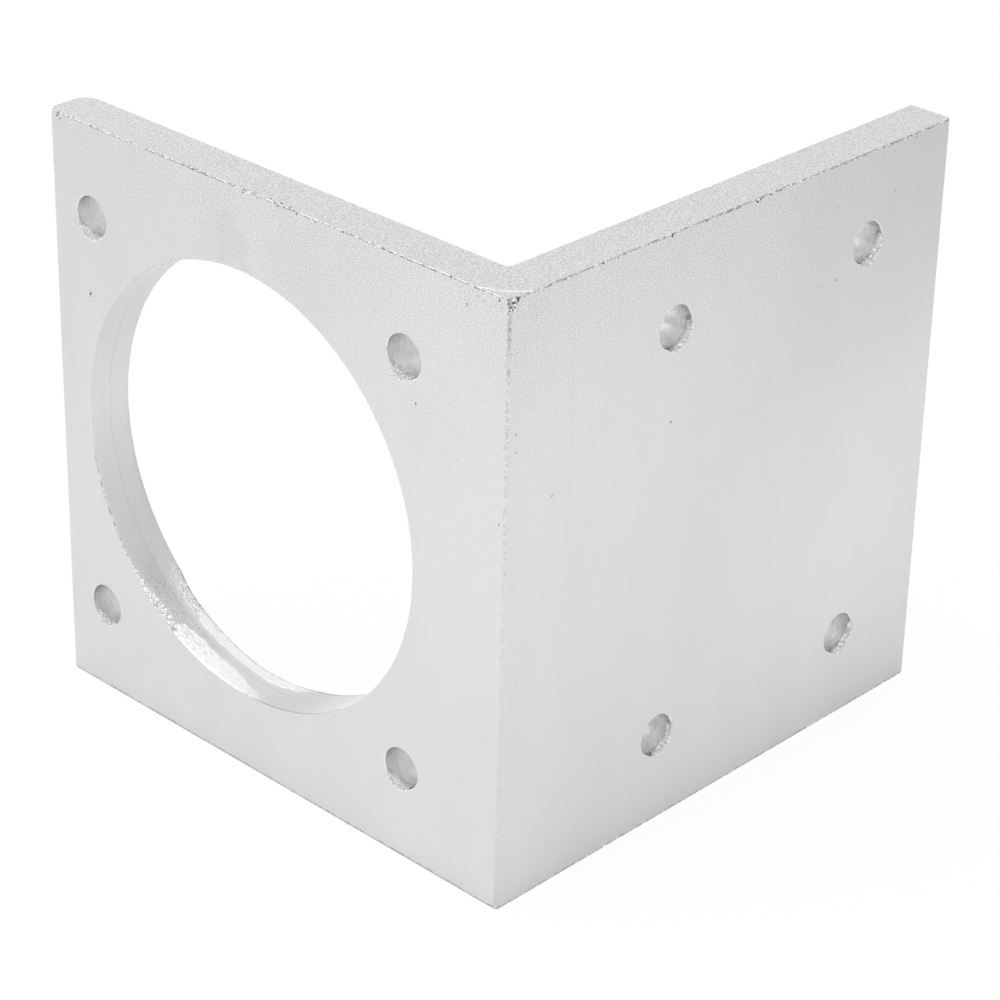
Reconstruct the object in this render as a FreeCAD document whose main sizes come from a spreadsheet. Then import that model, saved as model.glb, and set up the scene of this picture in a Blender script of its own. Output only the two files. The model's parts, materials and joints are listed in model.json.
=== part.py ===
import FreeCAD, Part
import os

import Sketcher

# Motor mounting bracket: one piece of extruded aluminium equal angle, cut to length.
# The motor leg is bored for a motor's pilot and drilled with a square of bolt holes.
# The base leg is drilled with a rectangle of holes that bolt the bracket to its base.
# Frame: the bracket stands on its cut end with +Z along the extrusion. The motor leg
# faces -Y, the base leg faces +X and the origin is at the centre of the footprint.

NODE = "bracket"

# Driving dimensions in millimetres, each with the alias that the features read
SIZES = [
    ("motor_leg", 100.0, "width of the motor leg from the outer corner"),
    ("base_leg", 100.0, "width of the base leg from the outer corner"),
    ("wall", 8.0, "thickness of both legs"),
    ("cut_length", 101.0, "length of the angle between its two saw cuts"),
    ("root_radius", 1.0, "fillet inside the angle"),
    ("corner_radius", 0.8, "outer corner of the angle"),
    ("motor_toe_radius", 2.8, "inner edge at the tip of the motor leg"),
    ("motor_tip_radius", 1.3, "outer edge at the tip of the motor leg"),
    ("base_toe_radius", 0.5, "inner edge at the tip of the base leg"),
    ("base_tip_radius", 0.9, "outer edge at the tip of the base leg"),
    ("end_break", 0.25, "broken edge round each saw cut"),
    ("pilot_bore", 74.0, "diameter of the bore for the motor's pilot"),
    ("pilot_break", 0.4, "broken edge at both rims of the bore"),
    ("motor_pitch", 69.6, "side of the square of motor bolts"),
    ("motor_offset", 1.5, "motor axis past the middle of the leg's inside width"),
    ("motor_hole", 7.0, "diameter of the motor bolt holes"),
    ("base_pitch", 45.0, "spacing of the base bolts across the leg"),
    ("base_rise", 70.0, "spacing of the base bolts along the extrusion"),
    ("base_offset", 4.0, "base bolts' centre past the middle of the leg's inside width"),
    ("base_hole", 7.0, "diameter of the base bolt holes"),
]

# Places in the sketches, worked out from the driving dimensions. Both patterns start
# at their lower hole on the left and are centred along the cut length.
MIDDLE = "sizes.cut_length / 2"
MOTOR_AXIS_ACROSS = "-(sizes.motor_leg + sizes.wall) / 2 - sizes.motor_offset"
MOTOR_HOLE_ACROSS = MOTOR_AXIS_ACROSS + " - sizes.motor_pitch / 2"
MOTOR_HOLE_UP = MIDDLE + " - sizes.motor_pitch / 2"
BASE_CENTRE_ACROSS = "(sizes.base_leg + sizes.wall) / 2 + sizes.base_offset"
BASE_HOLE_ACROSS = BASE_CENTRE_ACROSS + " - sizes.base_pitch / 2"
BASE_HOLE_UP = MIDDLE + " - sizes.base_rise / 2"

# Slack when an edge is looked up by its place, and the least volume a pocket takes out
NEAR = 1e-4
LEAST_CUT = 1.0


def fill_sheet(doc):
    sheet = doc.addObject("Spreadsheet::Sheet", "sizes")
    for row, (alias, value, meaning) in enumerate(SIZES, start=1):
        sheet.set("A%d" % row, alias)
        sheet.set("B%d" % row, str(value))
        sheet.setAlias("B%d" % row, alias)
        sheet.set("C%d" % row, meaning)
    doc.recompute()
    return sheet


def new_sketch(body, name, role):
    # Sketch on the body's own origin plane of that role
    planes = [plane for plane in body.Origin.OriginFeatures if plane.Role == role]
    sketch = body.newObject("Sketcher::SketchObject", name)
    sketch.AttachmentSupport = (planes[0], [""])
    sketch.MapMode = "FlatFace"
    return sketch


def drive(sketch, name, formula, kind, *elements):
    # Dimension that follows the sheet
    value = float(sketch.evalExpression(formula))
    index = sketch.addConstraint(Sketcher.Constraint(kind, *elements, value))
    sketch.renameConstraint(index, name)
    sketch.setExpression("Constraints." + name, formula)


def angle_profile(doc, body, sheet):
    # Section of the angle, with its outer corner at the sketch's origin
    sketch = new_sketch(body, "angle_profile", "XY_Plane")
    corners = [
        (0, 0),
        (0, sheet.base_leg),
        (-sheet.wall, sheet.base_leg),
        (-sheet.wall, sheet.wall),
        (-sheet.motor_leg, sheet.wall),
        (-sheet.motor_leg, 0),
    ]
    points = [FreeCAD.Vector(x, y, 0) for x, y in corners]
    for start, end in zip(points, points[1:] + points[:1]):
        sketch.addGeometry(Part.LineSegment(start, end), False)
    base_face, base_tip, base_inside, motor_inside, motor_tip, motor_face = range(6)
    for line in range(len(points)):
        following = (line + 1) % len(points)
        sketch.addConstraint(Sketcher.Constraint("Coincident", line, 2, following, 1))
    for line in (base_face, base_inside, motor_tip):
        sketch.addConstraint(Sketcher.Constraint("Vertical", line))
    for line in (base_tip, motor_inside, motor_face):
        sketch.addConstraint(Sketcher.Constraint("Horizontal", line))
    sketch.addConstraint(Sketcher.Constraint("Coincident", base_face, 1, -1, 1))
    drive(sketch, "base_leg", "sizes.base_leg", "DistanceY", base_face, 1, base_face, 2)
    drive(sketch, "motor_leg", "sizes.motor_leg", "DistanceX", motor_face, 1, motor_face, 2)
    drive(sketch, "base_wall", "sizes.wall", "DistanceX", base_tip, 2, base_tip, 1)
    drive(sketch, "motor_wall", "sizes.wall", "DistanceY", motor_tip, 2, motor_tip, 1)
    doc.recompute()
    return sketch


def extrude_angle(doc, body, profile):
    pad = body.newObject("PartDesign::Pad", "extruded_angle")
    pad.Profile = profile
    pad.setExpression("Length", "sizes.cut_length")
    doc.recompute()


def edge_names(shape, wanted):
    return ["Edge%d" % index for index, edge in enumerate(shape.Edges, start=1) if wanted(edge)]


def dress_edges(doc, body, kind, name, size_property, formula, wanted):
    # Fillet or chamfer on the edges of the solid so far that are wanted
    solid = body.Tip
    dressed = body.newObject(kind, name)
    dressed.Base = (solid, edge_names(solid.Shape, wanted))
    dressed.setExpression(size_property, formula)
    doc.recompute()


def round_section(doc, body, sheet):
    # Radii that the extrusion die leaves along the angle
    corners = [
        ("outer_corner", "sizes.corner_radius", 0, 0),
        ("root_fillet", "sizes.root_radius", -sheet.wall, sheet.wall),
        ("motor_toe", "sizes.motor_toe_radius", -sheet.motor_leg, sheet.wall),
        ("motor_tip", "sizes.motor_tip_radius", -sheet.motor_leg, 0),
        ("base_toe", "sizes.base_toe_radius", -sheet.wall, sheet.base_leg),
        ("base_tip", "sizes.base_tip_radius", 0, sheet.base_leg),
    ]
    for name, radius, x_place, y_place in corners:

        def along_corner(edge):
            return all(abs(vertex.X - x_place) < NEAR and abs(vertex.Y - y_place) < NEAR
                       for vertex in edge.Vertexes)

        dress_edges(doc, body, "PartDesign::Fillet", name, "Radius", radius, along_corner)


def break_cut_ends(doc, body, sheet):
    # Outline of both saw-cut ends, deburred with a file

    def round_an_end(edge):
        heights = [vertex.Z for vertex in edge.Vertexes]
        return max(heights) < NEAR or min(heights) > sheet.cut_length - NEAR

    dress_edges(doc, body, "PartDesign::Chamfer", "cut_end_breaks", "Size",
                "sizes.end_break", round_an_end)


def cut_circle(doc, body, name, role, diameter, across, up):
    # Round hole through one leg, as deep as its wall, checked by the volume it takes
    sketch = new_sketch(body, name + "_circle", role)
    size, x_place, y_place = [float(sketch.evalExpression(formula))
                              for formula in (diameter, across, up)]
    circle = Part.Circle(FreeCAD.Vector(x_place, y_place, 0), FreeCAD.Vector(0, 0, 1), size / 2)
    sketch.addGeometry(circle, False)
    drive(sketch, "diameter", diameter, "Diameter", 0)
    drive(sketch, "across", across, "DistanceX", -1, 1, 0, 3)
    drive(sketch, "up", up, "DistanceY", -1, 1, 0, 3)
    doc.recompute()
    volume = body.Shape.Volume
    pocket = body.newObject("PartDesign::Pocket", name)
    pocket.Profile = sketch
    pocket.Reversed = False
    pocket.setExpression("Length", "sizes.wall")
    doc.recompute()
    if body.Shape.Volume > volume - LEAST_CUT:
        raise RuntimeError(name + " removes nothing")
    return sketch, pocket


def repeat_hole(doc, body, name, sketch, pocket, across, up):
    # A second hole across the leg, and both again further along the extrusion
    pattern = body.newObject("PartDesign::MultiTransform", name)
    pattern.Originals = [pocket]
    steps = []
    for suffix, axis, spacing in (("_across", "H_Axis", across), ("_up", "V_Axis", up)):
        step = body.newObject("PartDesign::LinearPattern", name + suffix)
        step.Direction = (sketch, [axis])
        step.Occurrences = 2
        step.setExpression("Length", spacing)
        steps.append(step)
    pattern.Transformations = steps
    body.Tip = pattern
    doc.recompute()


def bore_motor_leg(doc, body, sheet):
    # Bore that the motor's pilot locates in, with both rims deburred
    cut_circle(doc, body, "pilot_bore", "XZ_Plane", "sizes.pilot_bore", MOTOR_AXIS_ACROSS, MIDDLE)

    def bore_rim(edge):
        is_circle = isinstance(edge.Curve, Part.Circle)
        return is_circle and abs(edge.Curve.Radius - sheet.pilot_bore / 2) < NEAR

    dress_edges(doc, body, "PartDesign::Chamfer", "pilot_rim_breaks", "Size",
                "sizes.pilot_break", bore_rim)


def drill_motor_leg(doc, body):
    # Square of motor bolts about the bore's axis
    sketch, pocket = cut_circle(doc, body, "motor_hole", "XZ_Plane", "sizes.motor_hole",
                                MOTOR_HOLE_ACROSS, MOTOR_HOLE_UP)
    repeat_hole(doc, body, "motor_holes", sketch, pocket, "sizes.motor_pitch",
                "sizes.motor_pitch")


def drill_base_leg(doc, body):
    # Rectangle of base bolts, its long way along the extrusion
    sketch, pocket = cut_circle(doc, body, "base_hole", "YZ_Plane", "sizes.base_hole",
                                BASE_HOLE_ACROSS, BASE_HOLE_UP)
    repeat_hole(doc, body, "base_holes", sketch, pocket, "sizes.base_pitch",
                "sizes.base_rise")


def make_bracket(doc, sheet):
    body = doc.addObject("PartDesign::Body", NODE)
    body.Label = NODE
    profile = angle_profile(doc, body, sheet)
    extrude_angle(doc, body, profile)
    round_section(doc, body, sheet)
    break_cut_ends(doc, body, sheet)
    bore_motor_leg(doc, body, sheet)
    drill_motor_leg(doc, body)
    drill_base_leg(doc, body)
    # The outer corner moves off the origin, so that the footprint's centre lies there
    body.setExpression("Placement.Base.x", "sizes.motor_leg / 2")
    body.setExpression("Placement.Base.y", "-sizes.base_leg / 2")
    doc.recompute()
    return body


def check(doc, bodies):
    for item in doc.Objects:
        if "Invalid" in item.State or "Error" in item.State:
            raise RuntimeError("%s failed: %s" % (item.Name, item.State))
    for body in bodies:
        if body.Shape.isNull() or not body.Shape.isValid():
            raise RuntimeError(body.Label + " has no valid shape")
        if len(body.Shape.Solids) != 1:
            raise RuntimeError(body.Label + " is not one solid")


def main():
    doc = FreeCAD.newDocument("motor_mounting_bracket")
    sheet = fill_sheet(doc)
    bodies = [make_bracket(doc, sheet)]
    check(doc, bodies)
    os.makedirs("parts", exist_ok=True)
    for body in bodies:
        body.Shape.exportStep("parts/" + body.Label + ".step")
        box = body.Shape.BoundBox
        print(body.Label, "volume", round(body.Shape.Volume, 1))
        print("  x", box.XMin, box.XMax, "y", box.YMin, box.YMax, "z", box.ZMin, box.ZMax)


main()
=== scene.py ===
import json
import math

import bmesh
import bpy
from mathutils import Matrix, Vector, noise


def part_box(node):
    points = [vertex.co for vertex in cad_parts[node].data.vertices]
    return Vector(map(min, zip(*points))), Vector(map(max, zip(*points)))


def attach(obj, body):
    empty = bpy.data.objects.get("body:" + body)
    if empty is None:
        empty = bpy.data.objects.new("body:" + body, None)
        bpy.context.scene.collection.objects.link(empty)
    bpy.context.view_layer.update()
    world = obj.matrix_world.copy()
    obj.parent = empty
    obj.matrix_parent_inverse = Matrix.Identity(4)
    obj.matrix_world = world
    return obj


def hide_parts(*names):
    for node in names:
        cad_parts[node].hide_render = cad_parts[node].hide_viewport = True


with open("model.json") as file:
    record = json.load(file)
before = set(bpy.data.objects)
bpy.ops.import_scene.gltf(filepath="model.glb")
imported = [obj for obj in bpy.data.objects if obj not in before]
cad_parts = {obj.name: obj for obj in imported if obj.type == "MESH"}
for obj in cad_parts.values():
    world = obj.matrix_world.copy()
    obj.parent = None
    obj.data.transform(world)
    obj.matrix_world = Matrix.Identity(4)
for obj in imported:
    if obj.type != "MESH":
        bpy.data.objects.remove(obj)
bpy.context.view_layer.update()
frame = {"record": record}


# Bracket: one length of extruded aluminium equal angle, sawn off at both ends.
# One leg is bored for a motor's pilot and drilled for its flange, and the other leg is
# drilled for the machine's base. The skin is blasted, and the sawn outlines keep a torn lip.

MM = 0.001
NEAR = 0.002 * MM
WALL = 8.0 * MM
ROOT_RADIUS = 1.0 * MM
OUTER_RADIUS = 0.35 * MM
MOTOR_TIP_RADIUS = 1.3 * MM
MOTOR_TOE_RADIUS = 2.8 * MM
BASE_TIP_RADIUS = 0.9 * MM
BASE_TOE_RADIUS = 0.5 * MM
low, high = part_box("bracket")
motor_face_y = low.y
base_face_x = high.x
motor_inside_y = motor_face_y + WALL
base_inside_x = base_face_x - WALL
cut_length = high.z - low.z


def take(piece):
    # Selects this piece alone
    bpy.ops.object.select_all(action="DESELECT")
    piece.select_set(True)
    bpy.context.view_layer.objects.active = piece


def apply_all(piece):
    take(piece)
    bpy.ops.object.transform_apply(location=True, rotation=True, scale=True)
    for modifier in list(piece.modifiers):
        bpy.ops.object.modifier_apply(modifier=modifier.name)


def edit(piece, mode):
    # Goes into edit mode with nothing selected, in vertex, edge or face mode
    take(piece)
    bpy.ops.object.mode_set(mode="EDIT")
    bpy.ops.mesh.select_mode(type=mode)
    bpy.ops.mesh.select_all(action="DESELECT")


def finish_edit():
    bpy.ops.object.mode_set(mode="OBJECT")


def pick(piece, kind, wanted):
    # Selects the edges or faces for which wanted says yes, given their corners
    shape = bmesh.from_edit_mesh(piece.data)
    for item in getattr(shape, kind):
        item.select_set(wanted([vertex.co for vertex in item.verts]))
    shape.select_flush_mode()
    bmesh.update_edit_mesh(piece.data)


# The motor leg is a plain bar, and the base leg is drawn out of its end
bpy.ops.object.select_all(action="DESELECT")
bpy.ops.mesh.primitive_cube_add(
    size=1,
    location=((low.x + high.x) / 2, motor_face_y + WALL / 2, (low.z + high.z) / 2),
    scale=(high.x - low.x, WALL, cut_length),
)
bracket = bpy.context.object
bracket.name = "bracket_body"
apply_all(bracket)
edit(bracket, "FACE")
bpy.ops.mesh.select_all(action="SELECT")
bpy.ops.mesh.bisect(plane_co=(base_inside_x, 0, 0), plane_no=(1, 0, 0))
pick(bracket, "faces", lambda ring: all(
    abs(p.y - motor_inside_y) < NEAR and p.x > base_inside_x - NEAR for p in ring))
bpy.ops.mesh.extrude_region_move(
    TRANSFORM_OT_translate={"value": (0, high.y - motor_inside_y, 0)})
bpy.ops.mesh.select_all(action="SELECT")
bpy.ops.mesh.dissolve_limited(angle_limit=math.radians(1))

# The die's radii run along the angle
for x, y, radius, steps in (
    (base_face_x, motor_face_y, OUTER_RADIUS, 5),
    (base_inside_x, motor_inside_y, ROOT_RADIUS, 5),
    (low.x, motor_face_y, MOTOR_TIP_RADIUS, 6),
    (low.x, motor_inside_y, MOTOR_TOE_RADIUS, 9),
    (base_face_x, high.y, BASE_TIP_RADIUS, 5),
    (base_inside_x, high.y, BASE_TOE_RADIUS, 4),
):
    bpy.ops.mesh.select_mode(type="EDGE")
    pick(bracket, "edges", lambda ring: all(
        abs(p.x - x) < NEAR and abs(p.y - y) < NEAR for p in ring))
    bpy.ops.mesh.bevel(offset=radius, segments=steps, affect="EDGES", clamp_overlap=False)

# Each saw cut is rounded into five rows, which then become its torn lip
LIP = 0.25 * MM
LIP_STEPS = 4
LONG_EDGE = 5 * MM
pick(bracket, "edges", lambda ring: (
    all(abs(p.z - low.z) < NEAR for p in ring) or all(abs(p.z - high.z) < NEAR for p in ring)))
bpy.ops.mesh.bevel(offset=LIP, segments=LIP_STEPS, affect="EDGES", clamp_overlap=False)
# The rows are divided twice along the legs, more finely at the top, which is seen closer
for end, finer in ((low.z, 13), (high.z, 27)):
    for cuts in (13, finer):
        bpy.ops.mesh.select_mode(type="EDGE")
        pick(bracket, "edges", lambda ring: (
            all(abs(p.z - end) < LIP + NEAR for p in ring)
            and abs(ring[0].z - ring[1].z) < NEAR
            and (ring[0] - ring[1]).length > LONG_EDGE))
        bpy.ops.mesh.subdivide(number_cuts=cuts)


def node(tree, kind, inputs=None, **settings):
    # Adds a node, with its settings and with each input given as a number or a socket
    made = tree.nodes.new("ShaderNode" + kind)
    for name, value in settings.items():
        setattr(made, name, value)
    for socket, value in (inputs or {}).items():
        if isinstance(value, bpy.types.NodeSocket):
            tree.links.new(value, made.inputs[socket])
        else:
            made.inputs[socket].default_value = value
    return made


def sums(tree, operation, first, *others):
    # Works along a row of numbers and sockets from left to right
    for other in others:
        first = node(tree, "Math", {0: first, 1: other}, operation=operation).outputs[0]
    return first


def plus(tree, *parts):
    return sums(tree, "ADD", *parts)


def less(tree, *parts):
    return sums(tree, "SUBTRACT", *parts)


def times(tree, *parts):
    return sums(tree, "MULTIPLY", *parts)


def off(tree, value, middle):
    # How far a value lies from a middle, on either side
    return sums(tree, "ABSOLUTE", less(tree, value, middle), 0.0)


def spread(tree, value, lowest, highest, start=0.0, end=1.0):
    # Stretches a value from start..end to lowest..highest and stops it there
    return node(tree, "MapRange", {
        "Value": value, "From Min": start, "From Max": end,
        "To Min": lowest, "To Max": highest}).outputs["Result"]


def vectors(tree, operation, *given, result="Vector"):
    # Works on places or directions, and gives another one, or a number as result "Value"
    inputs = {index: value if isinstance(value, bpy.types.NodeSocket) else tuple(value)
              for index, value in enumerate(given)}
    return node(tree, "VectorMath", inputs, operation=operation).outputs[result]


def coordinate(tree, place, axis):
    return node(tree, "SeparateXYZ", {"Vector": place}).outputs[axis]


def from_above(tree, place):
    # The place with its height left out
    return node(tree, "Mapping", {"Vector": place, "Scale": (1, 1, 0)}).outputs["Vector"]


def cloud(tree, place, per_mm, detail=2.0, stretch=(1, 1, 1)):
    # Soft noise with about per_mm spots to the millimetre, times stretch along each axis
    drawn = node(tree, "Mapping", {"Vector": place, "Scale": stretch}).outputs["Vector"]
    return node(tree, "TexNoise", {
        "Vector": drawn, "Scale": per_mm / MM, "Detail": detail, "Roughness": 0.6}).outputs["Fac"]


def swirled(tree, place, per_mm, detail, by_mm):
    # Places pushed about by up to by_mm, which gives a form an uneven outline
    swirl = node(tree, "TexNoise", {"Vector": place, "Scale": per_mm / MM, "Detail": detail})
    return vectors(tree, "MULTIPLY_ADD", swirl.outputs["Color"], (by_mm * MM,) * 3, place)


def smudge(tree, place, centre_mm, core, reach):
    # 1 within core of a point, down to 0 at reach from it, all in mm
    centre = [value * MM for value in centre_mm]
    far = vectors(tree, "DISTANCE", place, centre, result="Value")
    return spread(tree, far, 1.0, 0.0, core * MM, reach * MM)


def on_base_leg(tree, place):
    # 1 on the base leg's outer face and its edges, 0 elsewhere
    return spread(tree, coordinate(tree, place, "X"), 0.0, 1.0,
                  base_face_x - 0.8 * MM, base_face_x - 0.5 * MM)


def metal(name):
    # Bare aluminium whose tone, roughness and relief a finish then sets
    material = bpy.data.materials.new(name)
    material.use_nodes = True
    tree = material.node_tree
    shader = tree.nodes["Principled BSDF"]
    shader.inputs["Metallic"].default_value = 1.0
    place = node(tree, "TexCoord").outputs["Object"]
    return material, tree, shader, place


def coat(tree, shader, tone, roughness):
    tree.links.new(tone, shader.inputs["Base Color"])
    tree.links.new(roughness, shader.inputs["Roughness"])


def relief(tree, shader, height, depth_mm):
    bump = node(tree, "Bump", {"Height": height, "Strength": 1.0, "Distance": depth_mm * MM})
    tree.links.new(bump.outputs["Normal"], shader.inputs["Normal"])


DIE_LINE_Y = -36.6 * MM
STAIN_MM = (-3.1, -45.5, 96.5)


def blasted_skin():
    # Fine blasting over drawn metal, livelier towards the top and painted darker there as shade
    material, tree, shader, place = metal("blasted_skin")
    grit = cloud(tree, place, 4.4, 2.0, (0.75, 0.75, 1.3))
    clouds = cloud(tree, place, 0.08, 4.0, (1, 1, 0.35))
    height = coordinate(tree, place, "Z")
    risen = spread(tree, height, 0.0, 1.0, low.z + 0.35 * cut_length, high.z)
    lively = plus(tree, times(tree, risen, risen, 0.95), 0.03)
    for centre, core, reach, loss in (((50, 50, 95), 5, 40, 0.45), ((-50, -50, 97), 5, 35, 0.30)):
        calm = times(tree, smudge(tree, place, centre, core, reach), -loss)
        lively = times(tree, lively, plus(tree, calm, 1.0))
    speckle = times(tree, less(tree, grit, 0.5), lively)
    tone = plus(tree, speckle, spread(tree, clouds, 0.71, 0.73, 0.35, 0.65))
    # Painted shade: the skin is darker towards the top
    painted_shading_and_marks = times(tree, risen, 0.04)
    # Painted shade darkens the foot, most and highest up on the base leg
    for rise, foot_shade, part in ((7, 0.03, 1.0), (22, 0.06, on_base_leg(tree, place))):
        foot = spread(tree, height, 1.0, 0.0, low.z, low.z + rise * MM)
        painted_shading_and_marks = plus(tree, painted_shading_and_marks, times(tree, foot, foot, part, foot_shade))
    # Wide soft patches of painted light and painted shade, paler or darker than the rest
    for centre, core, reach, loss in (
        ((50, 46, 98), 6, 44, 0.05), ((-44, -50, 96), 5, 40, 0.01),
        ((40, -50, 50), 5, 45, -0.01), ((50, -35, 72), 10, 50, -0.045),
        ((50, 44, 45), 5, 45, -0.035), ((50, 12, 28), 8, 40, -0.022),
        ((32, -50, 4), 5, 32, -0.02), ((2, -50, 94), 5, 35, -0.015),
        ((9, -50, 90), 2, 12, 0.010), ((37, -50, 76), 2, 10, 0.010),
    ):
        painted_shading_and_marks = plus(tree, painted_shading_and_marks, times(tree, smudge(tree, place, centre, core, reach), loss))
    # A stain with an uneven outline above the bore
    stain = smudge(tree, swirled(tree, place, 0.25, 3.0, 9), STAIN_MM, 3.4, 4.6)
    painted_shading_and_marks = plus(tree, painted_shading_and_marks, times(tree, stain, 0.028))
    # The die has left a faint line down the upper half of the base leg
    off_line = off(tree, coordinate(tree, place, "Y"), DIE_LINE_Y)
    line = times(tree, spread(tree, off_line, 0.018, 0.0, 0.15 * MM, 0.55 * MM),
                 spread(tree, height, 0.0, 1.0, 55 * MM, 65 * MM),
                 spread(tree, grit, 0.4, 1.2, 0.40, 0.60))
    painted_shading_and_marks = plus(tree, painted_shading_and_marks, line)
    # Knocks have left dark spots down the fold, most near its top, over painted shade there
    fold = (base_face_x, motor_face_y, 0)
    off_fold = vectors(tree, "DISTANCE", from_above(tree, place), fold, result="Value")
    knocks_and_fold_shade = times(tree, spread(tree, cloud(tree, place, 1.9), 0.14, -0.08, 0.38, 0.56),
                  spread(tree, height, 0.3, 1.0, 25 * MM, 95 * MM))
    # Painted shade: the whole fold a little darker, most at its top
    knocks_and_fold_shade = plus(tree, knocks_and_fold_shade, spread(tree, height, 0.04, 0.13, 86 * MM, 93 * MM))
    knocks_and_fold_shade = times(tree, knocks_and_fold_shade, spread(tree, off_fold, 1.0, 0.0, 0.25 * MM, 0.50 * MM))
    painted_shading_and_marks = plus(tree, painted_shading_and_marks, knocks_and_fold_shade)
    coat(tree, shader, less(tree, tone, painted_shading_and_marks), spread(tree, clouds, 0.53, 0.55, 0.3, 0.7))
    relief(tree, shader, times(tree, grit, lively), 0.05)
    return material


BLADE_CENTRE = (41 * MM, -39.5 * MM, 0)
BLADE_SWING = 10.65 * MM


def sawn_end():
    # The saw cut, blasted with the rest: coarser, with torn spots that catch the light
    material, tree, shader, place = metal("sawn_end")
    torn = cloud(tree, place, 3.2)
    tone = spread(tree, torn, 0.575, 0.875, 0.30, 0.70)
    # A blade's mark curves across the outer corner
    flat = from_above(tree, place)
    swung = vectors(tree, "DISTANCE", flat, BLADE_CENTRE, result="Value")
    outwards = vectors(tree, "DOT_PRODUCT", flat, (1, -1, 0), result="Value")
    mark = times(tree, spread(tree, off(tree, swung, BLADE_SWING), 0.35, 0.0, 0.05 * MM, 0.16 * MM),
                 spread(tree, outwards, 0.0, 1.0, 91 * MM, 93 * MM))
    coat(tree, shader, plus(tree, tone, mark), spread(tree, torn, 0.86, 0.74, 0.3, 0.75))
    relief(tree, shader, torn, 0.06)
    return material


def torn_lip():
    # The lip the saw raises, bright where it was rubbed and painted darker as shade on the base leg
    material, tree, shader, place = metal("torn_lip")
    rubbed = cloud(tree, place, 1.6, 3.0)
    # Painted shade: the lip is darker on the base leg
    worn_and_shaded = less(tree, rubbed, times(tree, on_base_leg(tree, place), 0.10))
    coat(tree, shader, spread(tree, worn_and_shaded, 0.45, 0.95, 0.40, 0.54),
         spread(tree, worn_and_shaded, 0.55, 0.40, 0.4, 0.6))
    relief(tree, shader, rubbed, 0.10)
    return material


def lip_root():
    # Painted shade under the lip: dark at the top, paler but over more of the root at the foot
    material, tree, shader, place = metal("lip_root")
    height = coordinate(tree, place, "Z")
    unshaded = less(tree, cloud(tree, place, 1.3, 3.0), 0.06)
    unshaded = less(tree, unshaded, spread(tree, height, 0.10, 0.0, low.z + MM, low.z + 2 * MM))
    shaded_tone = spread(tree, height, 0.52, 0.20, low.z + MM, low.z + 2 * MM)
    unshaded_tone = spread(tree, on_base_leg(tree, place), 0.66, 0.92)
    coat(tree, shader, spread(tree, unshaded, shaded_tone, unshaded_tone, 0.34, 0.52),
         spread(tree, unshaded, 0.7, 0.5, 0.34, 0.58))
    return material


def below_cut(point):
    return min(high.z - point.z, point.z - low.z)


def in_lip(ring):
    return (max(p.z for p in ring) - min(p.z for p in ring) < LIP + NEAR
            and all(below_cut(p) < LIP + NEAR for p in ring))


# Each finish goes on the faces that take it, later ones over earlier ones
rubbed = torn_lip()
bpy.ops.mesh.select_mode(type="FACE")
for index, (finish, wanted) in enumerate([
    (blasted_skin(), lambda ring: True),
    (rubbed, in_lip),
    (lip_root(), lambda ring: in_lip(ring) and (
        all(below_cut(p) > 0.5 * LIP for p in ring)
        or all(p.z < low.z + LIP + NEAR for p in ring))),
    (sawn_end(), lambda ring: all(below_cut(p) < NEAR for p in ring) and in_lip(ring)),
]):
    bracket.data.materials.append(finish)
    pick(bracket, "faces", wanted)
    bracket.active_material_index = index
    bpy.ops.object.material_slot_assign()


def rough(point, size, seed):
    # Smooth random number from -1 to 1 that changes over about size
    return noise.noise(point / size + Vector((seed, 2.3 * seed, 3.1 * seed)))


def uneven_lip(point, row, torn):
    # How far a row of the lip lies inside the face and below the cut, in mm: the first row
    # lies lowest on the face, and the last one furthest in on the cut
    fine = rough(point, 0.55 * MM, row)
    return (
        (0, 0.20 + 0.14 * torn + 0.10 * fine),
        (0.02 + 0.10 * torn, 0.14 + 0.06 * torn + 0.04 * fine),
        (0.01 + 0.03 * abs(fine), 0.07 + 0.03 * fine),
        (0.05 + 0.03 * torn + 0.02 * fine, 0.02),
        (0.10 + 0.10 * torn + 0.09 * fine, 0),
    )[row]


# The lip is torn more in some places than in others, and knocked down at the motor leg's tip
FOOT_LIP = 1.6
KNOCKED_ROUND = 2.2 * MM
KNOCKED_DOWN_MM = 0.9
knocked_tip = Vector((low.x, motor_face_y, high.z))
shape = bmesh.from_edit_mesh(bracket.data)
shape.normal_update()
moved = []
for vertex in shape.verts:
    depth = below_cut(vertex.co)
    if depth > LIP + NEAR:
        continue
    outward = Vector((vertex.normal.x, vertex.normal.y, 0)).normalized()
    turn = math.asin(max(0.0, min(1.0, 1 - depth / LIP)))
    row = round(turn / (math.pi / 2) * LIP_STEPS)
    inset = LIP * (1 - math.cos(row * math.pi / 2 / LIP_STEPS))
    torn = 0.35 + 0.9 * rough(vertex.co, 5 * MM, 11) + 0.9 * rough(vertex.co, 0.9 * MM, 12)
    new_inset, new_depth = uneven_lip(vertex.co, row, max(0.0, min(1.0, torn)))
    knocked = max(0.0, 1 - (vertex.co - knocked_tip).length / KNOCKED_ROUND)
    new_depth += KNOCKED_DOWN_MM * knocked * knocked
    up = 1 if vertex.co.z > (low.z + high.z) / 2 else -1
    if up < 0:
        new_depth *= FOOT_LIP
    moved.append((vertex, outward * (inset - new_inset * MM), up * (depth - new_depth * MM)))
for vertex, across, lift in moved:
    vertex.co += across + Vector((0, 0, lift))
bmesh.update_edit_mesh(bracket.data)
finish_edit()


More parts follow.
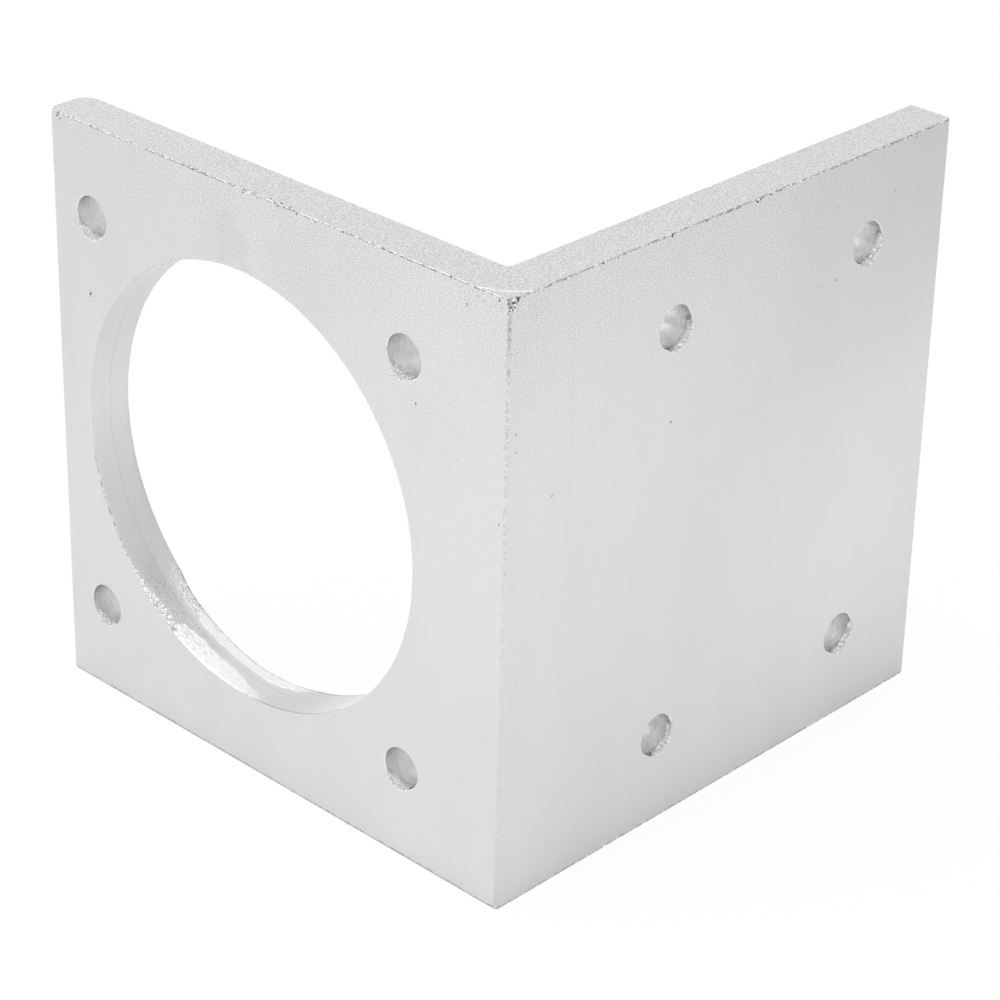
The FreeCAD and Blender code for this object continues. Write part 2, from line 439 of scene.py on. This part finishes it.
def round_cutter(name, finish, centre, axis, sections, corners):
    # A turned cutter: a disc that is drawn out along its axis from radius to radius
    depth, radius = sections[0]
    turn = (math.pi / 2, 0, 0) if axis.y else (0, math.pi / 2, 0)
    bpy.ops.object.select_all(action="DESELECT")
    bpy.ops.mesh.primitive_circle_add(
        vertices=corners, radius=radius, fill_type="NGON",
        location=centre + axis * depth, rotation=turn)
    cutter = bpy.context.object
    cutter.name = name
    apply_all(cutter)
    edit(cutter, "FACE")
    bpy.ops.mesh.select_all(action="SELECT")
    for next_depth, next_radius in sections[1:]:
        step = axis * (next_depth - depth)
        grow = next_radius / radius
        bpy.ops.mesh.extrude_region_move(TRANSFORM_OT_translate={"value": step})
        across = (grow, 1, grow) if axis.y else (1, grow, grow)
        bpy.ops.transform.resize(value=across, center_override=centre + axis * next_depth)
        depth, radius = next_depth, next_radius
    bpy.ops.mesh.select_all(action="SELECT")
    bpy.ops.mesh.normals_make_consistent(inside=False)
    finish_edit()
    cutter.data.materials.append(finish)
    return cutter


def window(value, start, full, fade, end):
    # Rises from 0 at start to 1 at full, and falls from fade to 0 at end
    return max(0.0, min(1.0, (value - start) / (full - start), (end - value) / (end - fade)))


def crumbs_of(tree, place, per_mm):
    # Metal that tore out in crumbs: 1 on their tops and 0 in the gaps between them
    warped = swirled(tree, place, per_mm, 2.0, 0.9)
    gaps = node(tree, "TexVoronoi", {"Vector": warped, "Scale": per_mm / MM},
                feature="DISTANCE_TO_EDGE")
    return times(tree, spread(tree, gaps.outputs["Distance"], 0.0, 1.0, 0.02, 0.16),
                 spread(tree, cloud(tree, place, 2 * per_mm), 0.35, 1.0, 0.38, 0.52))


def blend_in(tree, under, over, share):
    return plus(tree, under, times(tree, less(tree, over, under), share))


# The bore is cut from both faces, and the two cuts meet past the middle of the wall.
# Angles round it are in degrees from +X towards +Z, and depths in mm from the motor leg's face
mounts = {mount["name"]: mount for mount in frame["record"]["mounts"]}
pilot = mounts["motor_pilot"]
PILOT_RADIUS = pilot["dims"]["r_mm"] * MM
PILOT_BREAK = 0.03 * MM
CUTS_MEET = 4.2 * MM
MEETING_GROOVE = 0.02 * MM
GROOVE_SIDE = 0.15 * MM
OVERRUN = 0.3 * MM
BORE_CORNERS = 576
RINGS = 18
RING_STEP = 0.4 * MM
BAND_WIDTH_MM = 2.8
FRONT_BAND_START = 240.6
pilot_centre = Vector((pilot["pos_m"][0], motor_face_y, pilot["pos_m"][2]))
into_motor_leg = Vector((0, 1, 0))


def turn_from(degrees):
    # Direction from the bore's axis
    return Vector((math.cos(math.radians(degrees)), 0, math.sin(math.radians(degrees))))


def bored_wall():
    # Boring marks run round the wall. Low on the left the metal tore, and beside that a scraper
    # opened a band at each rim, whose brighter tone is painted highlight
    material, tree, shader, place = metal("bored_wall")
    marks = cloud(tree, place, 0.15, 3.0, (1, 25, 1))
    fine = cloud(tree, place, 3.0)
    streaks = cloud(tree, place, 1.1, 3.0, (1, 2.6, 1))
    scratches = spread(tree, cloud(tree, place, 0.7, 2.0, (1, 6, 1)), -1.3, 0.7, 0.35, 0.65)
    uneven = spread(tree, cloud(tree, place, 1.6, 3.0), -0.2, 0.2, 0.35, 0.65)
    from_axis = vectors(tree, "SUBTRACT", place, pilot_centre)
    depth = sums(tree, "DIVIDE", coordinate(tree, from_axis, "Y"), MM)

    def zone(middle, reach, fade):
        # 1 round about a direction from the axis, down to 0 at reach degrees from it
        aimed = vectors(tree, "DOT_PRODUCT", from_axis, turn_from(middle), result="Value")
        return spread(tree, aimed, 0.0, 1.0, PILOT_RADIUS * math.cos(math.radians(reach)),
                      PILOT_RADIUS * math.cos(math.radians(reach - fade)))

    # Each band's width in mm, and how much of it is left at a depth from its rim. Where it
    # narrows it breaks up into scratches
    front_begun = zone(276, 36, 1)
    front_width = times(tree, front_begun, zone(253, 24, 18), 3.3)
    back_width = times(tree, zone(275, 36, 3), zone(250, 36, 14), BAND_WIDTH_MM)
    bright = 0.0
    for width, from_rim in ((front_width, depth), (back_width, less(tree, WALL / MM, depth))):
        broken = times(tree, scratches, spread(tree, width, 1.0, 0.0, 0.8, 2.6))
        left = plus(tree, less(tree, plus(tree, width, uneven), from_rim), broken)
        band = spread(tree, left, 0.0, 1.0, 0.0, 0.12)
        # A painted highlight along each band's inner border
        border_highlight = less(tree, band, spread(tree, left, 0.0, 1.0, 0.25, 0.45))
        scraped = times(tree, band, spread(tree, streaks, 0.40, 1.20, 0.40, 0.58))
        band = plus(tree, scraped, times(tree, border_highlight, 0.6))
        band = times(tree, band, spread(tree, width, 0.0, 1.0, 0.2, 2.7))
        bright = sums(tree, "MAXIMUM", band, bright)
    # Darker where the two cuts meet, and in a mottled streak before the front band
    dark = spread(tree, off(tree, depth, CUTS_MEET / MM), 0.05, 0.0, 0.08, 0.28)
    streak = times(tree, zone(236, 20, 12),
                   spread(tree, off(tree, depth, 2.6), 0.12, 0.0, 0.9, 3.0),
                   spread(tree, fine, 1.6, 0.4, 0.40, 0.60))
    dark = plus(tree, dark, streak)
    # Painted shade and reflection make some stretches round the wall a little darker or paler
    for middle, reach, loss in (
        (150, 30, 0.035), (176, 22, -0.04), (211, 32, 0.09), (266, 18, -0.05), (292, 22, 0.05),
    ):
        dark = plus(tree, dark, times(tree, zone(middle, reach, reach), loss))
    # A dark line follows the back rim under its band
    dark = plus(tree, dark, times(tree, zone(262, 40, 24),
                                  spread(tree, depth, 0.0, 0.26, 7.5, 7.7)))
    # Painted burr shade lines the front rim in dashes, in one line low down, none high on its left
    dashes = spread(tree, cloud(tree, place, 0.9), 0.0, 1.0, 0.45, 0.55)
    dashes = sums(tree, "MAXIMUM", dashes, zone(292, 26, 6))
    rim_shade = times(tree, spread(tree, depth, 0.42, 0.0, 0.10, 0.26), dashes,
                 less(tree, 1.0, zone(162, 34, 12)), less(tree, 1.0, bright))
    dark = plus(tree, dark, rim_shade)
    # A dark notch where the front band starts
    band_start = (pilot_centre + turn_from(FRONT_BAND_START) * (PILOT_RADIUS + 0.3 * MM)) / MM
    notch = smudge(tree, place, band_start + Vector((0, 0.3, 0)), 0.3, 0.9)
    dark = plus(tree, dark, times(tree, notch, 0.45))
    # The bands' brighter tone is painted highlight
    tone = plus(tree, spread(tree, marks, 0.76, 0.80, 0.3, 0.7), times(tree, bright, 0.26))
    tone = less(tree, tone, dark)
    # Torn metal: fine crumbs towards the back rim, and larger ones in a strip at the front rim
    torn = times(tree, zone(237, 13, 9), spread(tree, depth, 0.0, 1.0, 4.7, 6.4))
    tone = plus(tree, tone, times(tree, torn, spread(tree, fine, -0.12, 0.30, 0.42, 0.60)))
    strip = zone(252, 40, 22)
    strip = times(tree, strip, strip, 1.6, less(tree, 1.0, front_begun))
    strip = plus(tree, less(tree, strip, depth), uneven)
    strip = spread(tree, strip, 0.0, 1.0, 0.05, 0.20)
    crumbs = crumbs_of(tree, place, 1.5)
    # The gaps between the crumbs are painted darker as shade
    tone = blend_in(tree, tone, spread(tree, crumbs, 0.50, 1.0, 0.0, 0.5), strip)
    gloss = blend_in(tree, spread(tree, bright, 0.50, 0.62), 0.35, strip)
    coat(tree, shader, sums(tree, "MINIMUM", tone, 1.0), gloss)
    relief(tree, shader, plus(tree, marks, times(tree, fine, plus(tree, bright, torn)),
                              times(tree, crumbs, strip, 2.5)), 0.03)
    return material


sections = [(-OVERRUN, PILOT_RADIUS + PILOT_BREAK + OVERRUN), (PILOT_BREAK, PILOT_RADIUS)]
rings = [PILOT_BREAK + RING_STEP * step for step in range(1, RINGS + 1)]
rings += [CUTS_MEET - GROOVE_SIDE, CUTS_MEET, CUTS_MEET + GROOVE_SIDE]
for depth in sorted(rings):
    grooved = MEETING_GROOVE if depth == CUTS_MEET else 0
    sections.append((depth, PILOT_RADIUS + grooved))
sections += [
    (WALL - PILOT_BREAK, PILOT_RADIUS),
    (WALL + OVERRUN, PILOT_RADIUS + PILOT_BREAK + OVERRUN)]
pilot_cutter = round_cutter(
    "pilot_cutter", bored_wall(), pilot_centre, into_motor_leg, sections, BORE_CORNERS)

# The scraper opened the bore at both rims, low on the side away from the base leg, and the
# metal beside its bands tore out in crumbs
FRONT_OPENED = 0.42 * MM
BACK_OPENED = 0.85 * MM
for vertex in pilot_cutter.data.vertices:
    arm = vertex.co - pilot_centre
    depth = arm.y / MM
    arm.y = 0
    angle = math.degrees(math.atan2(arm.z, arm.x)) % 360
    fine = rough(vertex.co, 0.8 * MM, 21)
    slow = rough(vertex.co, 3 * MM, 22)
    front = window(angle, 239, 241, 249, 270)
    back = window(angle, 228, 232, 262, 284) * window(angle, 210, 246, 300, 310)
    grow = FRONT_OPENED * front * max(0.0, 1 - depth / (BAND_WIDTH_MM * max(front, 0.01)))
    grow += BACK_OPENED * back * max(
        0.0, 1 - (WALL / MM - depth) / (BAND_WIDTH_MM * max(back, 0.01)))
    torn = max(
        window(angle, 212, 232, 239, 241) * window(depth, -1, 0, 0.4, 1.7),
        0.7 * (window(angle, 222, 232, 240, 246) * window(depth, 4.8, 6.4, 7.8, 9)))
    notch = window(angle, 238.8, 240, 240, 241.2) * window(depth, -1, 0, 0.8, 2.0)
    grow += MM * (torn * (0.30 * fine + 0.30) + 0.30 * notch)
    rim = window(depth, -1, 0, 0, 0.7) + window(depth, 7.3, 8, 8, 9)
    scratched = window(angle, 116, 119, 130, 133) + window(angle, 302, 304, 310, 312)
    grow += MM * rim * ((0.05 + 0.10 * scratched) * fine + 0.05 * slow)
    vertex.co += arm.normalized() * grow
cutters = [pilot_cutter]


def drilled_wall(name, stretch, mount, into, torn_way, torn_from, torn_depth):
    # The drill's feed marks wind round the wall, which tore at its lower rim
    material, tree, shader, place = metal(name)
    marks = cloud(tree, place, 0.4, 2.0, stretch)
    uneven = cloud(tree, place, 0.5, 3.0)
    tone = times(tree, spread(tree, marks, 0.86, 1.0, 0.35, 0.65),
                 spread(tree, uneven, 0.78, 0.95, 0.35, 0.65))
    # From the nearest hole's axis, as the four holes stand at even spacings
    across = mount["dims"]["spacing_x_mm"] * MM
    up = mount["dims"]["spacing_y_mm"] * MM
    step = Vector((1, 1, 0)) * across + Vector((0, 0, 1)) * up
    from_middle = vectors(tree, "SUBTRACT", place, mount["pos_m"])
    from_axis = vectors(tree, "WRAP", from_middle, step, (0, 0, 0))
    from_axis = vectors(tree, "SUBTRACT", from_axis, step / 2)
    depth = vectors(tree, "DOT_PRODUCT", from_middle, into, result="Value")
    depth = sums(tree, "DIVIDE", depth, MM)
    side = vectors(tree, "DOT_PRODUCT", from_axis, torn_way, result="Value")
    radius = mount["dims"]["hole_r_mm"] * MM
    torn = plus(tree, spread(tree, side, -0.3, torn_depth, torn_from * radius, 0.90 * radius),
                spread(tree, cloud(tree, place, 1.6, 3.0), -0.6, 0.6, 0.35, 0.65))
    torn = spread(tree, less(tree, torn, depth), 0.0, 1.0, 0.0, 0.25)
    crumbs = crumbs_of(tree, place, 2.2)
    # The gaps between the crumbs are painted darker as shade
    tone = blend_in(tree, tone, spread(tree, crumbs, 0.55, 1.0, 0.0, 0.30), torn)
    gloss = blend_in(tree, spread(tree, uneven, 0.27, 0.42, 0.35, 0.65), 0.70, torn)
    coat(tree, shader, tone, gloss)
    relief(tree, shader, plus(tree, times(tree, marks, 0.7), uneven,
                              times(tree, crumbs, torn, 2.4)), 0.06)
    return material


# Eight drilled holes, whose lower rims tore out towards the front
DRILL_BREAK = 0.18 * MM
DRILL_CORNERS = 112
DRILL_RINGS = 8
DRILL_RING_STEP = 0.25 * MM
TORN_OUT_MM = 0.50
for name, across, into, stretch, torn_side, torn_from, torn_depth in (
    ("motor_bolts", Vector((1, 0, 0)), into_motor_leg, (1, 9, 1), 254, 0.70, 1.5),
    ("base_bolts", Vector((0, 1, 0)), Vector((-1, 0, 0)), (9, 1, 1), 312, 0.42, 0.8),
):
    mount = mounts[name]
    dims = mount["dims"]
    drill_radius = dims["hole_r_mm"] * MM
    torn_way = across * math.cos(math.radians(torn_side))
    torn_way += Vector((0, 0, 1)) * math.sin(math.radians(torn_side))
    finish = drilled_wall(name + "_wall", stretch, mount, into, torn_way, torn_from, torn_depth)
    sections = [(-OVERRUN, drill_radius + DRILL_BREAK + OVERRUN), (DRILL_BREAK, drill_radius)]
    sections += [(DRILL_RING_STEP * step, drill_radius) for step in range(1, DRILL_RINGS + 1)]
    sections += [(WALL - DRILL_BREAK, drill_radius),
                 (WALL + OVERRUN, drill_radius + DRILL_BREAK + OVERRUN)]
    for side in (-1, 1):
        for row in (-1, 1):
            centre = Vector(mount["pos_m"])
            centre += across * side * dims["spacing_x_mm"] * MM / 2
            centre += Vector((0, 0, 1)) * row * dims["spacing_y_mm"] * MM / 2
            drill = round_cutter("drill", finish, centre, into, sections, DRILL_CORNERS)
            for vertex in drill.data.vertices:
                arm = vertex.co - centre
                depth = arm.dot(into) / MM
                arm = (arm - into * arm.dot(into)).normalized()
                torn = window(arm.dot(torn_way), torn_from, torn_from + 0.3, 2, 3)
                torn *= window(depth, -1, 0, 0, 1.1)
                ragged = (0.03 + 0.22 * torn) * rough(vertex.co, 0.5 * MM, 24)
                vertex.co += arm * MM * (ragged + TORN_OUT_MM * torn)
            cutters.append(drill)


def torn_metal():
    # Inside of nicks, dents and pits, mottled and mostly painted dark as their shade
    material, tree, shader, place = metal("torn_metal")
    torn = cloud(tree, place, 2.6, 3.0)
    coat(tree, shader, spread(tree, torn, 0.10, 0.95, 0.40, 0.58),
         spread(tree, torn, 0.6, 0.4, 0.35, 0.65))
    relief(tree, shader, torn, 0.15)
    return material


def stone(finish, place, radius, squash=(1, 1, 1), subdivisions=3):
    # A rough lump, which leaves a nick, a dent or a pit where it is cut away
    bpy.ops.object.select_all(action="DESELECT")
    bpy.ops.mesh.primitive_ico_sphere_add(
        subdivisions=subdivisions, radius=radius, location=place, scale=squash)
    lump = bpy.context.object
    lump.name = "stone"
    apply_all(lump)
    grain = min(0.7 * radius, 0.5 * MM)
    for vertex in lump.data.vertices:
        arm = vertex.co - Vector(place)
        uneven = 0.30 * rough(vertex.co, grain, 31) + 0.15 * rough(vertex.co, 0.5 * grain, 32)
        vertex.co += arm * uneven
    lump.data.materials.append(finish)
    return lump


# Pits in the motor leg's face, and smaller ones in the base leg's
BASE_PIT = 0.17 * MM
chipped = torn_metal()
for x, z, radius in (
    (-41.1, 72.0, 0.34), (41.8, 97.7, 0.20), (31.3, 79.2, 0.18), (31.9, 78.8, 0.14),
    (43.9, 99.8, 0.20), (46.2, 100.0, 0.22), (45.0, 99.2, 0.12), (48.1, 100.3, 0.24),
    (47.2, 99.3, 0.12), (48.6, 99.2, 0.14), (47.5, 55.2, 0.13), (48.8, 65.7, 0.12),
    (-47.7, 100.3, 0.20), (-46.9, 100.0, 0.14), (-44.4, 100.2, 0.15), (40.3, 72.9, 0.13),
    (-43.5, 93.1, 0.12),
):
    place = (x * MM, motor_face_y - 0.3 * radius * MM, z * MM)
    cutters.append(stone(chipped, place, radius * MM, (1, 1, 1.6)))
for y, z in (
    (-48.2, 79.8), (-48.1, 77.0), (-46.9, 38.3), (36.5, 92.5), (-14.7, 70.2), (18.9, 81.5),
    (22.2, 94.1), (23.1, 81.5), (-30.4, 93.5), (-40.3, 67.2), (-44.5, 97.1),
):
    cutters.append(stone(chipped, (base_face_x + 0.04 * MM, y * MM, z * MM), BASE_PIT))

# Nicks along the top edges of both legs
for y, drop, radius in (
    (40.8, 0.55, 0.38), (35.9, 0.2, 0.16), (25.4, 0.2, 0.16), (12.7, 0.25, 0.22),
    (9.5, 0.2, 0.24), (2.9, 0.35, 0.42), (-1.7, 0.25, 0.22), (-2.9, 0.2, 0.26),
    (-6.4, 0.3, 0.24), (-8.7, 0.2, 0.2), (-16.2, 0.3, 0.3), (-31, 0.2, 0.2),
    (-38.5, 0.25, 0.24),
):
    place = (base_face_x + 0.05 * MM, y * MM, high.z - drop * MM)
    cutters.append(stone(chipped, place, radius * MM, (1, 1.4, 1)))
for x, inward, drop, radius in (
    (-6.0, 0, 0.2, 0.20), (-3.4, 0, 0.2, 0.26), (-0.4, 0, 0.2, 0.24), (2.0, 0, 0.2, 0.34),
    (4.4, 0, 0.2, 0.18), (6.5, 0, 0.2, 0.28), (16.8, 0, 0.2, 0.18), (28.0, 0, 0.2, 0.16),
    (38.6, 0, 0.2, 0.26), (-21, 0, 0.2, 0.18), (-34, 0, 0.2, 0.20), (-5.2, 0.5, 0, 0.16),
    (-2.2, 0.5, 0, 0.18), (1.0, 0.6, 0, 0.16), (3.4, 0.5, 0, 0.20), (5.4, 0.4, 0, 0.15),
    (7.4, 0.5, 0, 0.15), (-4.6, 0, 0.6, 0.15), (-1.6, 0, 0.6, 0.14), (3.0, 0, 0.5, 0.16),
    (7.0, 0, 0.5, 0.14), (9.0, 0, 0.4, 0.13), (11.0, 0, 0.5, 0.14),
):
    place = (x * MM, motor_face_y + (inward - 0.05) * MM, high.z - drop * MM)
    cutters.append(stone(chipped, place, radius * MM, (1.3, 1, 1)))

# A spot on the back edge, the fold's dented top and chipped foot, the motor leg's rubbed
# tip, and a dark line down the fold
for finish, place, radius, squash, subdivisions in (
    (chipped, (base_inside_x, 1.1 * MM, high.z), 0.35, (1, 1, 1), 3),
    (chipped, (base_face_x + 0.35 * MM, motor_face_y + 0.35 * MM, high.z), 1.0, (1.0, 1.7, 1.9), 5),
    (chipped, (base_face_x + 0.25 * MM, motor_face_y - 0.25 * MM, low.z - 0.1 * MM), 0.8,
     (1.0, 1.0, 1.2), 4),
    (rubbed, (low.x + 0.1 * MM, motor_face_y + 0.1 * MM, high.z + 0.2 * MM), 0.9, (1, 1, 1), 4),
    (chipped, (base_face_x + 0.02 * MM, motor_face_y + 0.12 * MM, 95.6 * MM), 0.15, (1, 1, 20), 3),
):
    cutters.append(stone(finish, place, radius * MM, squash, subdivisions))

# All that was bored, drilled, torn or knocked out is cut away in one go
bpy.ops.object.select_all(action="DESELECT")
for cutter in cutters:
    cutter.select_set(True)
bpy.context.view_layer.objects.active = pilot_cutter
bpy.ops.object.join()
cut = bracket.modifiers.new("cut", "BOOLEAN")
cut.operation = "DIFFERENCE"
cut.solver = "EXACT"
cut.material_mode = "TRANSFER"
cut.object = pilot_cutter
apply_all(bracket)
bpy.data.objects.remove(pilot_cutter)

SHARP_ABOVE = math.radians(30)
take(bracket)
bracket.modifiers.new("weighted", "WEIGHTED_NORMAL")
bpy.ops.object.shade_smooth_by_angle(angle=SHARP_ABOVE)
apply_all(bracket)

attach(bracket, "root")
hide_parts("bracket")


# Floor: a wide sheet of matt white paper that the bracket stands on. To the camera it glows
# nearly as white as the wall behind it, so that only a faint shadow shows, and in reflections
# it glows less.

FLOOR_SIDE = 4
PAPER_TONE = 0.9
bpy.ops.object.select_all(action="DESELECT")
bpy.ops.mesh.primitive_plane_add(size=FLOOR_SIDE, location=(0, 0, low.z))
floor = bpy.context.object
floor.name = "floor"
paper = bpy.data.materials.new("white_paper")
paper.use_nodes = True
tree = paper.node_tree
shader = tree.nodes["Principled BSDF"]
shader.inputs["Base Color"].default_value = (PAPER_TONE, PAPER_TONE, PAPER_TONE, 1)
shader.inputs["Roughness"].default_value = 0.9
glow = node(tree, "Emission", {"Strength": 1.0})
rays = node(tree, "LightPath")
shares = [times(tree, rays.outputs[ray], share) for ray, share in (
    ("Is Camera Ray", 0.9), ("Is Glossy Ray", 0.3), ("Is Transmission Ray", 0.3))]
mixed = node(tree, "MixShader", {
    "Fac": plus(tree, *shares), 1: shader.outputs[0], 2: glow.outputs[0]})
tree.links.new(mixed.outputs[0], tree.nodes["Material Output"].inputs["Surface"])
floor.data.materials.append(paper)


# Light: a white photo tent, lit through its cloth by square soft lamps that all face the
# bracket's middle. Two wide ones hang in front and overhead, and three smaller ones stand at
# the left, the right and the back.

TENT_STRENGTH = 0.785
LAMP_DISTANCE = 0.9
WIDE = 0.8
SMALL = 0.4
middle = Vector((0, 0, (low.z + high.z) / 2))
world = bpy.data.worlds.new("white_tent")
bpy.context.scene.world = world
world.use_nodes = True
tent = world.node_tree.nodes["Background"]
tent.inputs["Color"].default_value = (1, 1, 1, 1)
tent.inputs["Strength"].default_value = TENT_STRENGTH
for name, azimuth, elevation, width, power in (
    ("front_lamp", -10, 40, WIDE, 2.65),
    ("top_lamp", 43, 75, WIDE, 1.3),
    ("left_lamp", -90, 8, SMALL, 3.05),
    ("right_lamp", 86, 8, SMALL, 1.15),
    ("back_lamp", 180, 30, SMALL, 0.25),
):
    turn, rise = math.radians(azimuth), math.radians(elevation)
    way = Vector((
        math.sin(turn) * math.cos(rise), -math.cos(turn) * math.cos(rise), math.sin(rise)))
    lamp_data = bpy.data.lights.new(name, "AREA")
    lamp_data.shape = "SQUARE"
    lamp_data.size = width
    lamp_data.energy = power
    lamp = bpy.data.objects.new(name, lamp_data)
    bpy.context.scene.collection.objects.link(lamp)
    lamp.location = way * LAMP_DISTANCE + middle
    lamp.rotation_euler = (middle - lamp.location).to_track_quat("-Z", "Y").to_euler()


# Camera: a full-frame camera with a long lens, half a metre away. It looks down on the
# bracket's outer corner and leans by about a degree. The lens is shifted down a little, so
# that the upright edges converge less.

CAMERA_PLACE = Vector((0.32634, -0.34304, 0.28470))
CAMERA_AIM = Vector((0.00152, -0.00034, 0.04792))
CAMERA_ROLL = math.radians(1.2558)
SENSOR_MM = 36.0
LENS_MM = 116.47
LENS_SHIFT = -0.08
camera_data = bpy.data.cameras.new("camera")
camera_data.lens = LENS_MM
camera_data.sensor_width = SENSOR_MM
camera_data.shift_y = LENS_SHIFT
camera_data.clip_start = 0.01
camera_data.clip_end = 20.0
camera = bpy.data.objects.new("camera", camera_data)
bpy.context.scene.collection.objects.link(camera)
camera.location = CAMERA_PLACE
look = (CAMERA_AIM - CAMERA_PLACE).to_track_quat("-Z", "Y").to_matrix()
camera.rotation_euler = (look @ Matrix.Rotation(CAMERA_ROLL, 3, "Z")).to_euler()
bpy.context.scene.camera = camera
bpy.context.scene.view_settings.view_transform = "Standard"
